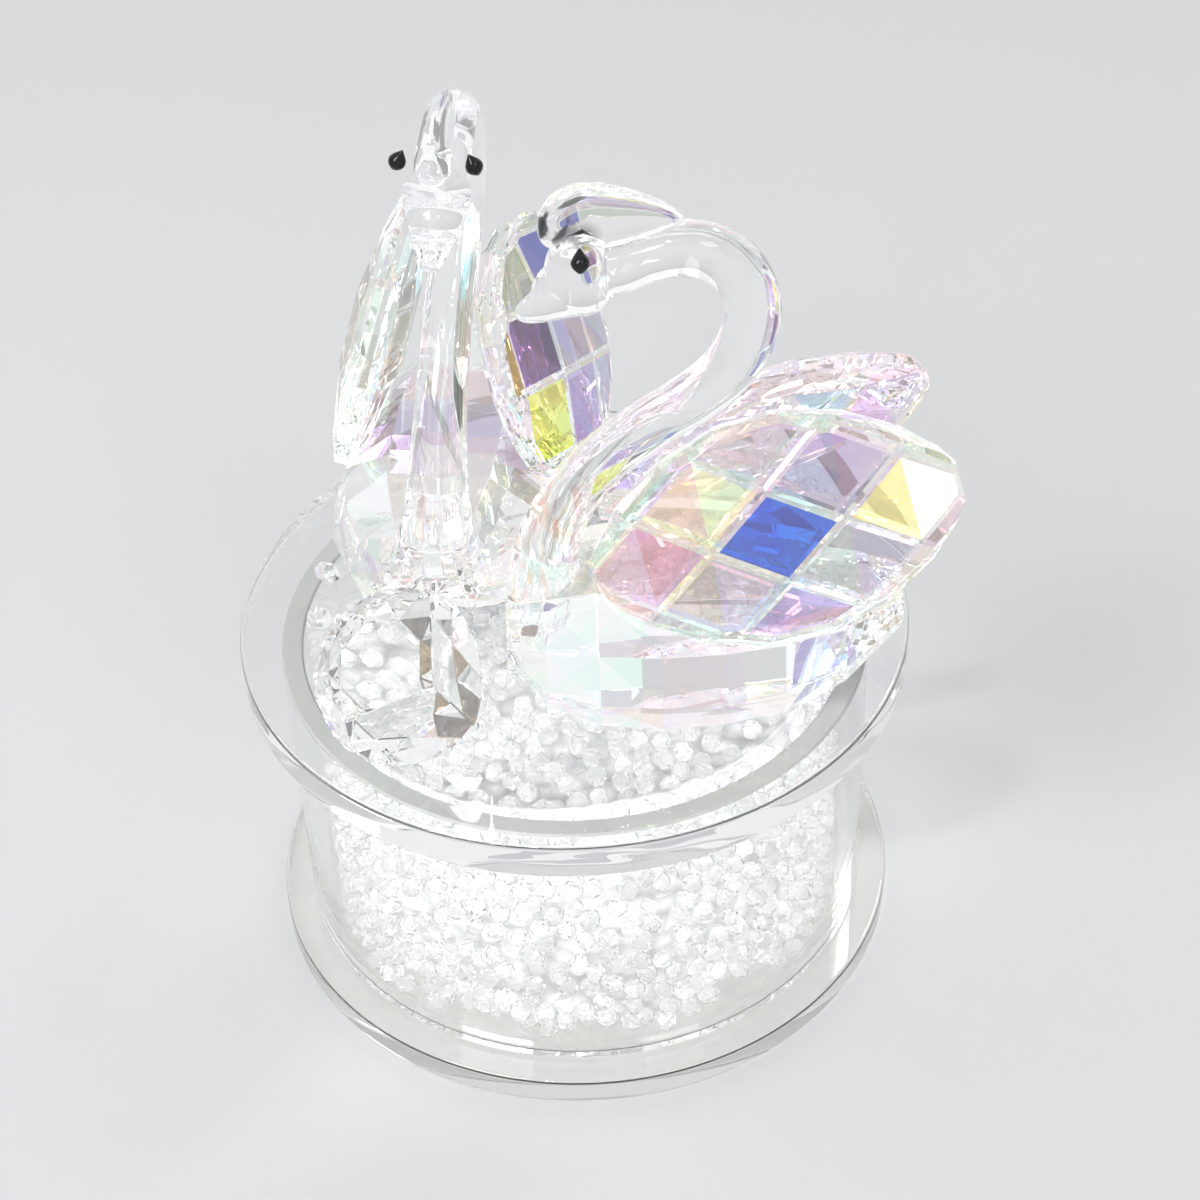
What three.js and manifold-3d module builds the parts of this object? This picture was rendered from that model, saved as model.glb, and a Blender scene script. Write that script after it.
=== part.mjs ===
import * as THREE from "three";
import { ConvexGeometry } from "three/addons/geometries/ConvexGeometry.js";
import { mergeVertices } from "three/addons/utils/BufferGeometryUtils.js";
import Module from "manifold-3d";

const wasm = await Module();
wasm.setup();

// Millimetres, +Z up, origin at the centre of the underside, the viewer's side is -Y.

const glueGap = 0.3;
const roundSteps = 80;

// Glass base: two discs and a tube.
const bottomDiscRadius = 38.8;
const bottomDiscThickness = 3.6;
const topDiscRadius = 40;
const topDiscThickness = 4.6;
const discTopHeight = 44.8;
const drumRadius = 35.3;
const drumWallThickness = 2.6;
const edgeChamfer = 0.35;

// The beads reach the lid at the front right and lie lower at the back left.
const fillClearance = 0.3;
const fillDrop = 7;
const fillDropAngle = 140;

// One swan in its own frame: x forwards, y to its left, z up from the lid.
const neckRodRadius = 4.15;
const neckRodFoot = 7.5;
const headCentre = [-5.9, 53.9];
const headHalfSizes = [3.9, 3.8, 5];
const eyeLength = 2.9;
const eyeRadius = 0.92;
const eyeCentre = [-5.8, 4.1];
const eyeSplay = 24;
const wingLength = 42;
const wingWidth = 26;
const wingCentreThickness = 7;
const wingRimThickness = 2.2;
const wingBevel = 3.2;

// Cut stone: a round girdle, three broad faces to a point in front, a shallow table behind.
const stoneDiameter = 20;
const stonePointHeight = 7.6;
const stoneGirdleThickness = 1.6;
const stoneBackHeight = 3.6;
const stoneTableDiameter = 11;
const stoneEdgeDistance = 10.845;
const stoneAngle = 227.224;
const stoneTurn = 307;
const stoneTilt = 64;
const stoneRoll = 90;

// Drops of set glue, each at a distance from the swan that faces the viewer.
const dropHeight = 1.3;
const dropHalfLength = 1.9;
const drops = [
  { name: "drop_back", besideSwan: [-13.8, 6.8], halfWidth: 1.35, turn: 130 },
  { name: "drop_front", besideSwan: [-14.4, -1.6], halfWidth: 1.5, turn: 110 },
];

// Where each swan stands, how its glued wings sit and how high each eye is.
const swans = [
  {
    name: "side_swan",
    place: [-3.5, -9.2],
    heading: 180,
    lean: 0,
    left: { centre: [-26, 9, 25.5], pitch: 14, toe: 2, tilt: 24, eye: 58 },
    right: { centre: [-25.4, -8, 24.4], pitch: 28, toe: 2, tilt: 24, eye: 56.8 },
  },
  {
    name: "front_swan",
    place: [-16.1, 1.5],
    heading: 262.5,
    lean: 2.7,
    left: { centre: [-23.8, 11.2, 22.4], pitch: 8.4, toe: 2, tilt: 32, eye: 58.2 },
    right: { centre: [-24.9, -9.1, 23.1], pitch: 12, toe: 5, tilt: 14.3, eye: 58.2 },
  },
];

const glass = (hex) =>
  new THREE.MeshStandardMaterial({ color: hex, roughness: 0.05, metalness: 0 });
const materials = {
  clear: glass(0xe8eeec),
  lamp: glass(0xeef2f2),
  coated: glass(0xdcd8ee),
  stone: glass(0xf0f4f6),
  beads: glass(0xf4f6f8),
  black: glass(0x101014),
};

const radians = THREE.MathUtils.degToRad;

// A place on the lid, at a distance in from its edge.
function lidPlace(edgeDistance, angle) {
  const radius = topDiscRadius - edgeDistance;
  return [radius * Math.cos(radians(angle)), radius * Math.sin(radians(angle))];
}

// Solid helpers: geometry to solid and back.
function solidOf(geometry) {
  const plain = new THREE.BufferGeometry();
  const source = geometry.index ? geometry.toNonIndexed() : geometry;
  plain.setAttribute("position", source.getAttribute("position").clone());
  const merged = mergeVertices(plain, 1e-3);
  return new wasm.Manifold(
    new wasm.Mesh({
      numProp: 3,
      vertProperties: new Float32Array(merged.attributes.position.array),
      triVerts: new Uint32Array(merged.index.array),
    }),
  );
}

function geometryOf(solid) {
  const mesh = solid.getMesh();
  const positions = new Float32Array(mesh.numVert * 3);
  for (let i = 0; i < mesh.numVert; i++) {
    const start = i * mesh.numProp;
    positions.set(mesh.vertProperties.subarray(start, start + 3), i * 3);
  }
  const geometry = new THREE.BufferGeometry();
  geometry.setAttribute("position", new THREE.BufferAttribute(positions, 3));
  geometry.setIndex(new THREE.BufferAttribute(new Uint32Array(mesh.triVerts), 1));
  return geometry;
}

const root = new THREE.Group();

function addPart(name, geometry, material) {
  geometry.computeVertexNormals();
  const mesh = new THREE.Mesh(geometry, material.clone());
  mesh.name = name;
  root.add(mesh);
}

// A ring or disc turned about Z, from [radius, height] pairs.
function turned(profile) {
  const points = profile.map(([r, z]) => new THREE.Vector2(r, z));
  return new THREE.LatheGeometry(points, roundSteps).rotateX(Math.PI / 2);
}

function disc(radius, low, high) {
  return turned([
    [0, low],
    [radius - edgeChamfer, low],
    [radius, low + edgeChamfer],
    [radius, high - edgeChamfer],
    [radius - edgeChamfer, high],
    [0, high],
  ]);
}

// A closed skin over rings of equal point count, capped at both ends by fans.
function skin(rings) {
  const count = rings[0].length;
  const points = rings.flat();
  const faces = [];
  for (let i = 0; i + 1 < rings.length; i++) {
    for (let j = 0; j < count; j++) {
      const a = i * count + j;
      const b = i * count + ((j + 1) % count);
      faces.push(a, b, b + count, a, b + count, a + count);
    }
  }
  const middle = (ring) =>
    ring.reduce((sum, p) => sum.add(p), new THREE.Vector3()).divideScalar(count);
  const firstMiddle = points.length;
  points.push(middle(rings[0]));
  const lastMiddle = points.length;
  points.push(middle(rings[rings.length - 1]));
  const lastStart = (rings.length - 1) * count;
  for (let j = 0; j < count; j++) {
    const next = (j + 1) % count;
    faces.push(firstMiddle, next, j);
    faces.push(lastMiddle, lastStart + j, lastStart + next);
  }
  const geometry = new THREE.BufferGeometry().setFromPoints(points);
  geometry.setIndex(faces);
  return geometry;
}

// Smooth curve through [x, z, ...sizes] rows by distance along the row list.
function smoothRows(rows, samples) {
  const width = rows[0].length;
  const out = [];
  for (let s = 0; s <= samples; s++) {
    const t = (s / samples) * (rows.length - 1);
    const i = Math.min(Math.floor(t), rows.length - 2);
    const f = t - i;
    const row = [];
    for (let k = 0; k < width; k++) {
      const p1 = rows[i][k];
      const p2 = rows[i + 1][k];
      const p0 = i > 0 ? rows[i - 1][k] : 2 * p1 - p2;
      const p3 = i + 2 < rows.length ? rows[i + 2][k] : 2 * p2 - p1;
      const bend = 2 * p0 - 5 * p1 + 4 * p2 - p3;
      const turn = 3 * (p1 - p2) + p3 - p0;
      row.push(p1 + 0.5 * f * (p2 - p0 + f * (bend + f * turn)));
    }
    out.push(row);
  }
  return out;
}

// Tube in the swan's middle plane: rows of x, z, half height in the plane, half width across it.
function bentTube(rows, samples, sides) {
  const path = smoothRows(rows, samples);
  const rings = path.map(([x, z, tall, wide], i) => {
    const before = path[Math.max(i - 1, 0)];
    const after = path[Math.min(i + 1, path.length - 1)];
    const along = new THREE.Vector2(after[0] - before[0], after[1] - before[1]).normalize();
    const ring = [];
    for (let j = 0; j < sides; j++) {
      const angle = (2 * Math.PI * j) / sides;
      const up = tall * Math.sin(angle);
      ring.push(
        new THREE.Vector3(x - along.y * up, wide * Math.cos(angle), z + along.x * up),
      );
    }
    return ring;
  });
  return skin(rings);
}

// The neck: x, z, half height, half width.
const neckRows = [
  [0.1, neckRodFoot, neckRodRadius, neckRodRadius],
  [0, 11, neckRodRadius, neckRodRadius],
  [-0.4, 15.6, 3.8, 3.8],
  [-2, 20.8, 3.4, 3.4],
  [-4.8, 26, 3.1, 3.1],
  [-8.4, 30.2, 3, 3],
  [-12.6, 33.7, 3, 3],
  [-17, 36.7, 3, 3],
  [-20.6, 39.9, 3, 3],
  [-23, 43.8, 3.1, 3.1],
  [-23.9, 48.4, 3.1, 3.1],
  [-22.6, 52.9, 3.1, 3.1],
  [-19.6, 55.7, 3.1, 3.1],
  [-16, 56.3, 3, 3],
  [-12.6, 55.6, 2.9, 3],
  [-9.4, 54.6, 3.2, 3.2],
  [-6.4, 54, 3, 3],
];

const billRows = [
  [-5.6, 52.4, 2.2, 2],
  [-4, 51.8, 3.2, 2.9],
  [-2.6, 50.8, 2.7, 2.5],
  [-1.2, 49.8, 1.7, 2],
  [0.4, 49.25, 1.1, 1.4],
  [1.2, 49.2, 0.45, 0.7],
];

const crestRows = [
  [-2.3, 58, 0.7, 0.9],
  [-2.9, 58.7, 1.9, 1.9],
  [-4.1, 59.8, 3.2, 2],
  [-5.8, 60.8, 4, 1.8],
  [-8, 60.9, 4, 1.7],
  [-10.6, 60.8, 3.4, 1.5],
  [-13.2, 60.6, 2.4, 1.2],
  [-15.4, 60.3, 1.3, 0.8],
  [-16.8, 60.1, 0.3, 0.3],
];

function outward(geometry) {
  const solid = solidOf(geometry);
  if (solid.volume() > 0) return solid;
  const flipped = geometry.clone();
  const index = flipped.index.array;
  for (let i = 0; i < index.length; i += 3) {
    [index[i + 1], index[i + 2]] = [index[i + 2], index[i + 1]];
  }
  return solidOf(flipped);
}

const fatter = (list, grow) => list.map(([x, z, tall, wide]) => [x, z, tall + grow, wide + grow]);

// Neck, head, bill and crest run into one piece of glass.
function neckSolid(grow) {
  const neck = outward(bentTube(fatter(neckRows, grow), 42, 14));
  const bill = outward(bentTube(fatter(billRows, grow), 8, 10));
  const crest = outward(bentTube(fatter(crestRows, grow), 12, 10));
  const ball = new THREE.SphereGeometry(1, 16, 10);
  ball.scale(headHalfSizes[0] + grow, headHalfSizes[1] + grow, headHalfSizes[2] + grow);
  ball.translate(headCentre[0], 0, headCentre[1]);
  return neck.add(outward(ball)).add(bill).add(crest);
}

// The upright rod below the neck, wide enough for the notch it stands in.
function rodCutter() {
  const rod = neckRows.slice(0, 4);
  rod[0] = [rod[0][0], rod[0][1] - glueGap, rod[0][2], rod[0][3]];
  return outward(bentTube(fatter(rod, glueGap), 6, 14));
}

// Cut body, front to back: x, half width below, height below, widest half width, height above.
const bodyStations = [
  [4.3, 4.5, 3.5, 6, 11],
  [0, 9, 0.6, 10.5, 13],
  [-6, 11.8, 0, 13.5, 15],
  [-13, 13, 0, 14.6, 15.5],
  [-20, 12.6, 0, 14.4, 15.5],
  [-27, 11.6, 0.5, 13, 15],
  [-34, 9, 2.4, 10.4, 14],
  [-41, 4, 6.2, 5, 12.5],
];

function bodyGeometry(grow) {
  const points = [];
  bodyStations.forEach(([x, wideLow, low, wide, high], i) => {
    const tall = high - low;
    const ends = i === 0 ? grow : i === bodyStations.length - 1 ? -grow : 0;
    const half = [
      [wideLow + grow, low - grow],
      [wide + grow, low + 0.3 * tall],
      [0.86 * wide + grow, low + 0.68 * tall + grow],
      [0.45 * wide, high + grow],
    ];
    half.forEach(([y, z]) => {
      points.push(new THREE.Vector3(x + ends, y, z), new THREE.Vector3(x + ends, -y, z));
    });
  });
  return new ConvexGeometry(points);
}

// Cut wing: a leaf outline between two domes of flat lozenges.
// Local u runs along the leaf to its blunt tip, v across it, w out of the outer face.
const facetHalfLength = 7.4;
const facetHalfWidth = 5.3;
const domeRows = 4;

// Lattice points whose row and column sum is odd, on a paraboloid: each lozenge of four is flat.
function domeSolid(sign) {
  const rise = wingCentreThickness / 2;
  const drop = (wingCentreThickness - wingRimThickness) / 2 / 6.6;
  const points = [];
  for (let i = -domeRows; i <= domeRows; i++) {
    for (let j = -domeRows; j <= domeRows; j++) {
      if ((i + j) % 2 === 0) continue;
      const height = rise + drop * (1 - i * i - j * j);
      points.push(new THREE.Vector3(i * facetHalfLength, j * facetHalfWidth, sign * height));
    }
  }
  for (const [i, j] of [[1, 1], [1, -1], [-1, 1], [-1, -1]]) {
    points.push(new THREE.Vector3(i * wingLength, j * wingLength, -sign * wingLength));
  }
  return outward(new ConvexGeometry(points));
}

function leafOutline(inset) {
  const points = [];
  const steps = 9;
  const long = 1 - (2 * inset) / wingLength;
  const wide = 1 - (2 * inset) / wingWidth;
  for (let i = 0; i <= steps; i++) {
    const t = (0.5 - 0.5 * Math.cos((Math.PI * i) / steps)) * 0.985;
    const u = wingLength * (t - 0.5) * long;
    const v = (wingWidth / 2) * Math.sin(Math.PI * t) ** 0.6 * wide;
    points.push([u, v], [u, -v]);
  }
  return points;
}

function wingSolid() {
  const edge = wingRimThickness / 2 - 0.2;
  const face = wingCentreThickness / 2;
  const points = [];
  for (const side of [-1, 1]) {
    leafOutline(0).forEach(([u, v]) => points.push(new THREE.Vector3(u, v, side * edge)));
    leafOutline(wingBevel).forEach(([u, v]) => points.push(new THREE.Vector3(u, v, side * face)));
  }
  const leaf = outward(new ConvexGeometry(points));
  return leaf.intersect(domeSolid(1)).intersect(domeSolid(-1));
}

// Black drop, thin end up and in, fat end down and out.
function eyeSolid(sign, height) {
  const rings = 7;
  const points = [];
  for (let i = 0; i <= rings; i++) {
    const t = i / rings;
    const r = eyeRadius * 1.12 * Math.sin(Math.PI * t) * (1.35 - 0.85 * t);
    points.push(new THREE.Vector2(i === 0 || i === rings ? 0 : r, eyeLength * (t - 0.5)));
  }
  const drop = new THREE.LatheGeometry(points, 10).rotateX(Math.PI / 2);
  drop.rotateX(radians(sign * eyeSplay));
  drop.translate(eyeCentre[0], sign * eyeCentre[1], height);
  return outward(drop);
}

function placed(solid, matrix) {
  return outward(geometryOf(solid).applyMatrix4(matrix));
}

for (const swan of swans) {
  const stand = new THREE.Matrix4()
    .makeTranslation(swan.place[0], swan.place[1], discTopHeight + glueGap)
    .multiply(new THREE.Matrix4().makeRotationZ(radians(swan.heading)));
  const lean = new THREE.Matrix4().makeRotationX(radians(-swan.lean));
  const neck = placed(neckSolid(0), lean);
  const neckCut = placed(neckSolid(glueGap), lean);
  const body = outward(bodyGeometry(0)).subtract(placed(rodCutter(), lean));
  const bodyCut = outward(bodyGeometry(glueGap));
  addPart(swan.name + "_body", geometryOf(placed(body, stand)), materials.coated);
  addPart(swan.name + "_neck", geometryOf(placed(neck, stand)), materials.lamp);
  for (const [side, sign] of [["left", 1], ["right", -1]]) {
    const pose = swan[side];
    const basis = new THREE.Matrix4().makeBasis(
      new THREE.Vector3(-1, 0, 0),
      new THREE.Vector3(0, 0, 1),
      new THREE.Vector3(0, sign, 0),
    );
    const local = new THREE.Matrix4()
      .makeTranslation(...pose.centre)
      .multiply(new THREE.Matrix4().makeRotationZ(radians(sign * pose.toe)))
      .multiply(new THREE.Matrix4().makeRotationY(radians(pose.pitch)))
      .multiply(new THREE.Matrix4().makeRotationX(radians(sign * pose.tilt)))
      .multiply(basis);
    const wing = placed(wingSolid(), local).subtract(bodyCut).subtract(neckCut);
    addPart(swan.name + "_wing_" + side, geometryOf(placed(wing, stand)), materials.coated);
    const eye = placed(eyeSolid(sign, pose.eye), lean).subtract(neckCut);
    addPart(swan.name + "_eye_" + side, geometryOf(placed(eye, stand)), materials.black);
  }
}

// Ring of points at one height, turned by a share of a step.
function ringPoints(radius, height, count, shift) {
  const points = [];
  for (let j = 0; j < count; j++) {
    const angle = (2 * Math.PI * (j + shift)) / count;
    points.push(new THREE.Vector3(radius * Math.cos(angle), radius * Math.sin(angle), height));
  }
  return points;
}

// The stone's own +Z runs to its point; three planes through the point cut the front.
function stoneSolid() {
  const radius = stoneDiameter / 2;
  const low = -stoneGirdleThickness / 2;
  const crown = (radius + stoneTableDiameter / 2) / 2;
  const back = [
    ...ringPoints(radius, low, 24, 0),
    ...ringPoints(crown, low - stoneBackHeight * 0.55, 8, 0.5),
    ...ringPoints(stoneTableDiameter / 2, low - stoneBackHeight, 8, 0),
  ];
  const drum = new ConvexGeometry([...back, ...ringPoints(radius, stonePointHeight, 24, 0)]);
  const fall = (stonePointHeight - stoneGirdleThickness / 2) / radius;
  const reach = 4 * radius;
  const tip = new THREE.Vector3(0, 0, stonePointHeight);
  const foot = ringPoints(reach, stonePointHeight - (fall * reach) / 2, 3, 0.5);
  const under = ringPoints(reach, -reach, 3, 0.5);
  const spire = new ConvexGeometry([tip, ...foot, ...under]);
  return outward(drum).intersect(outward(spire));
}

const stoneMatrix = new THREE.Matrix4()
  .makeRotationZ(radians(stoneTurn))
  .multiply(new THREE.Matrix4().makeRotationY(radians(stoneTilt)))
  .multiply(new THREE.Matrix4().makeRotationZ(radians(stoneRoll)));
const stoneTurned = placed(stoneSolid(), stoneMatrix);
const stoneLift = discTopHeight + glueGap - stoneTurned.boundingBox().min[2];
const stoneAt = stoneTurned.translate([...lidPlace(stoneEdgeDistance, stoneAngle), stoneLift]);
addPart("cut_stone", geometryOf(stoneAt), materials.stone);

for (const drop of drops) {
  const cap = new THREE.SphereGeometry(1, 14, 4, 0, 2 * Math.PI, 0, Math.PI / 2);
  cap.rotateX(Math.PI / 2);
  const flat = new THREE.CircleGeometry(1, 14).rotateX(Math.PI);
  const rim = [];
  for (const piece of [cap, flat]) {
    const source = piece.toNonIndexed().getAttribute("position");
    for (let i = 0; i < source.count; i++) {
      rim.push(new THREE.Vector3().fromBufferAttribute(source, i));
    }
  }
  const blob = new ConvexGeometry(rim);
  blob.scale(dropHalfLength, drop.halfWidth, dropHeight);
  blob.rotateZ(radians(drop.turn));
  const x = swans[1].place[0] + drop.besideSwan[0];
  const y = swans[1].place[1] + drop.besideSwan[1];
  blob.translate(x, y, discTopHeight + glueGap);
  addPart(drop.name, geometryOf(outward(blob)), materials.clear);
}

addPart("bottom_disc", disc(bottomDiscRadius, 0, bottomDiscThickness), materials.clear);
addPart(
  "top_disc",
  disc(topDiscRadius, discTopHeight - topDiscThickness, discTopHeight),
  materials.clear,
);

const wallLow = bottomDiscThickness + glueGap;
const wallHigh = discTopHeight - topDiscThickness - glueGap;
const drumBore = drumRadius - drumWallThickness;
addPart(
  "drum_wall",
  turned([
    [drumBore, wallLow],
    [drumRadius, wallLow],
    [drumRadius, wallHigh],
    [drumBore, wallHigh],
    [drumBore, wallLow],
  ]),
  materials.clear,
);

function fillGeometry() {
  const radius = drumBore - fillClearance;
  const low = [];
  const high = [];
  const turn = radians(fillDropAngle);
  for (let j = 0; j < roundSteps; j++) {
    const a = (2 * Math.PI * j) / roundSteps;
    const x = radius * Math.cos(a);
    const y = radius * Math.sin(a);
    const slope = (x * Math.cos(turn) + y * Math.sin(turn)) / radius;
    low.push(new THREE.Vector3(x, y, wallLow));
    high.push(new THREE.Vector3(x, y, wallHigh - fillDrop * (0.5 + 0.5 * slope)));
  }
  return skin([low, high]);
}
addPart("bead_fill", geometryOf(outward(fillGeometry())), materials.beads);

export default root;
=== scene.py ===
import math

import bmesh
import bpy
import numpy as np
from mathutils import Matrix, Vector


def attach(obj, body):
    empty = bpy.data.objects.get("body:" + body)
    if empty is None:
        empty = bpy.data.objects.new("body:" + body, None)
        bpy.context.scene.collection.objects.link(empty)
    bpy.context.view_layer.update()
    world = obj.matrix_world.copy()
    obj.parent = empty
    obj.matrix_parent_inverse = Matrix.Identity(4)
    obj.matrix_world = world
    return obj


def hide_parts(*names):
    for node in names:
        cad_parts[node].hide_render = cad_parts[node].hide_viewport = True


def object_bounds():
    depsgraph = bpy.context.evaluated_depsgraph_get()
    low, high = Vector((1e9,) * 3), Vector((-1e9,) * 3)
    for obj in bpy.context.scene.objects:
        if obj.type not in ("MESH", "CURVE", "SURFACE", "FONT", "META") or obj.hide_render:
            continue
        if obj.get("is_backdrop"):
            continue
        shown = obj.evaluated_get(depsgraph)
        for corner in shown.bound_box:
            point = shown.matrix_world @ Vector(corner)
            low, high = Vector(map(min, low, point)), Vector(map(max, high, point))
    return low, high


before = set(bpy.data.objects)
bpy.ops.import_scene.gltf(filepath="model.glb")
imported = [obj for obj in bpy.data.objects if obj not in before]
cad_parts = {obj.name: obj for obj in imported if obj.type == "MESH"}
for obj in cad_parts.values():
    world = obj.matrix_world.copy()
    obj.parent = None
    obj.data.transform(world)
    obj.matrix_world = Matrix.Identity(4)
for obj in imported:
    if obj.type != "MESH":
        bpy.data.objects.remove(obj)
cadLow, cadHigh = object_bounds()
mm = 0.001
lidTop = 44.8
glueGap = 0.3


def finishPiece(obj, slotName, *nodes):
    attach(obj, "root")
    if nodes:
        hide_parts(*nodes)
    return obj


def makeObject(name, points, faces, material, smooth=True):
    # points in millimetres, faces as rows of vertex numbers
    mesh = bpy.data.meshes.new(name)
    mesh.from_pydata((np.asarray(points) * mm).tolist(), [], faces)
    mesh.validate()
    if smooth:
        mesh.polygons.foreach_set("use_smooth", np.ones(len(mesh.polygons), bool))
    mesh.materials.append(material)
    obj = bpy.data.objects.new(name, mesh)
    bpy.context.scene.collection.objects.link(obj)
    return obj


def outwardFaces(obj):
    work = bmesh.new()
    work.from_mesh(obj.data)
    bmesh.ops.recalc_face_normals(work, faces=work.faces)
    work.to_mesh(obj.data)
    work.free()
    return obj


def faceArrays(mesh):
    centre = np.zeros(len(mesh.polygons) * 3)
    normal = np.zeros(len(mesh.polygons) * 3)
    mesh.polygons.foreach_get("center", centre)
    mesh.polygons.foreach_get("normal", normal)
    return centre.reshape(-1, 3) / mm, normal.reshape(-1, 3)


def moved(points, matrix):
    return points @ matrix[:3, :3].T + matrix[:3, 3]


def turn(axis, degrees):
    return np.array(Matrix.Rotation(math.radians(degrees), 4, axis))


def shift(x, y, z):
    return np.array(Matrix.Translation((x, y, z)))


def gridQuads(rows, cols, loop=False):
    # a grid closed round its columns: quad i, j joins row i to row i + 1, and with loop the last row to the first
    i, j = np.meshgrid(np.arange(rows if loop else rows - 1), np.arange(cols), indexing="ij")
    near, far = i * cols, (i + 1) % rows * cols
    n = (j + 1) % cols
    return np.stack([near + j, near + n, far + n, far + j], -1).reshape(-1, 4).tolist()


def sweptRings(profile, cols):
    # rows of radius and height swept round Z: radius times cosine, radius times sine, height
    profile = np.asarray(profile, float)
    radius, height = profile[:, :1], profile[:, 1:]
    angle = np.linspace(0, 2 * np.pi, cols, endpoint=False)
    return np.stack([radius * np.cos(angle), radius * np.sin(angle), height * np.ones_like(angle)], -1)


def closedRings(rings):
    # rings: array (rows, cols, 3); a middle point closes each end with a fan
    rows, cols = rings.shape[:2]
    points = np.vstack([rings.reshape(-1, 3), rings[0].mean(0), rings[-1].mean(0)])
    faces = gridQuads(rows, cols)
    j = np.arange(cols)
    n = (j + 1) % cols
    first = rows * cols
    last = (rows - 1) * cols
    faces += np.stack([np.full(cols, first), n, j], -1).tolist()
    faces += np.stack([np.full(cols, first + 1), last + j, last + n], -1).tolist()
    return points, faces


def smoothRows(rows, samples):
    # cubic through the rows: each span bends by its two outer neighbours
    rows = np.asarray(rows, float)
    ends = np.vstack([2 * rows[0] - rows[1], rows, 2 * rows[-1] - rows[-2]])
    t = np.linspace(0, len(rows) - 1, samples + 1)
    i = np.minimum(t.astype(int), len(rows) - 2)
    f = (t - i)[:, None]
    p0, p1, p2, p3 = ends[i], ends[i + 1], ends[i + 2], ends[i + 3]
    bend = 2 * p0 - 5 * p1 + 4 * p2 - p3 + f * (3 * (p1 - p2) + p3 - p0)
    return p1 + 0.5 * f * (p2 - p0 + f * bend)


def bentTube(rows, samples, sides):
    # path x, z in the swan's middle plane; the ring is an ellipse across the path
    path = smoothRows(rows, samples)
    along = np.gradient(path[:, :2], axis=0)
    along /= np.linalg.norm(along, axis=1)[:, None]
    angle = np.linspace(0, 2 * np.pi, sides, endpoint=False)
    up = path[:, 2:3] * np.sin(angle)
    side = path[:, 3:4] * np.cos(angle)
    x = path[:, 0:1] - along[:, 1:2] * up
    z = path[:, 1:2] + along[:, 0:1] * up
    return closedRings(np.stack([x, side, z], -1))


def ball(centre, sizes, rows=24, cols=32):
    # ellipsoid: polar angle down the rows, turn round the columns
    polar = np.linspace(0.02, np.pi - 0.02, rows)
    rings = sweptRings(np.stack([np.sin(polar), np.cos(polar)], -1), cols)
    return closedRings(rings * np.asarray(sizes) + np.asarray(centre))


def joined(*shells):
    points, faces, first = [], [], 0
    for p, f in shells:
        points.append(p)
        faces += [[v + first for v in face] for face in f]
        first += len(p)
    return np.vstack(points), faces


# finishes: wave is the strength of the ripple in poured and drawn glass; glow is painted light, a faint emission
# that gives the drawn glass its milky bloom and stands in for the light that runs on inside the thick discs for
# more bounces than are rendered
finishValues = {
    "clear": {"colour": (0.965, 0.98, 0.97), "ior": 1.5, "roughness": 0.0, "glow": 0.003, "wave": 0.12,
              "waveScale": 90},
    # the foot's grey is partly the thick glass's own tint and partly painted shade for the shadow under the disc,
    # which it does not cast
    "foot": {"colour": (0.74, 0.735, 0.715), "ior": 1.5, "roughness": 0.0, "glow": 0.004},
    "wall": {"colour": (0.93, 0.94, 0.925), "ior": 1.5, "roughness": 0.0},
    "lamp": {"colour": (0.985, 0.99, 0.99), "ior": 1.5, "roughness": 0.0, "glow": 0.02, "wave": 0.25,
             "waveScale": 120},
    "stone": {"ior": 1.58, "roughness": 0.0, "film": 0, "filmIor": 1.33},
    "bead": {"colour": (0.985, 0.985, 0.99), "ior": 1.5, "roughness": 0.02, "transmission": 0.9},
    "cut": {"ior": 1.54, "roughness": 0.0, "film": 420, "filmIor": 1.8},
    "black": {"colour": (0.006, 0.006, 0.008), "roughness": 0.04, "shine": 0.3},
    "ground": {"colour": (0.29, 0.293, 0.285), "roughness": 0.55},
}
waveDetail, waveHeight = 1.5, 0.0004


def newMaterial(name):
    material = bpy.data.materials.new(name)
    material.use_nodes = True
    # the faint glows are seen but not sampled as lamps, which keeps the render quick
    material.cycles.emission_sampling = "NONE"
    nodes = material.node_tree.nodes
    return material, nodes, material.node_tree.links, nodes["Principled BSDF"]


def plainFinish(name, colour, roughness, shine=0.5):
    material, nodes, links, shader = newMaterial(name)
    shader.inputs["Base Color"].default_value = (*colour, 1)
    shader.inputs["Roughness"].default_value = roughness
    shader.inputs["Specular IOR Level"].default_value = shine
    return material


def glass(name, values):
    material, nodes, links, shader = newMaterial(name)
    shader.inputs["Base Color"].default_value = (*values["colour"], 1)
    shader.inputs["Roughness"].default_value = values["roughness"]
    shader.inputs["IOR"].default_value = values["ior"]
    shader.inputs["Transmission Weight"].default_value = values.get("transmission", 1)
    shader.inputs["Emission Strength"].default_value = values.get("glow", 0)
    if "wave" in values:
        place = nodes.new("ShaderNodeTexCoord")
        noise = nodes.new("ShaderNodeTexNoise")
        noise.inputs["Scale"].default_value = values["waveScale"]
        noise.inputs["Detail"].default_value = waveDetail
        bump = nodes.new("ShaderNodeBump")
        bump.inputs["Strength"].default_value = values["wave"]
        bump.inputs["Distance"].default_value = waveHeight
        links.new(place.outputs["Object"], noise.inputs["Vector"])
        links.new(noise.outputs["Fac"], bump.inputs["Height"])
        links.new(bump.outputs["Normal"], shader.inputs["Normal"])
    return material


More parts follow.
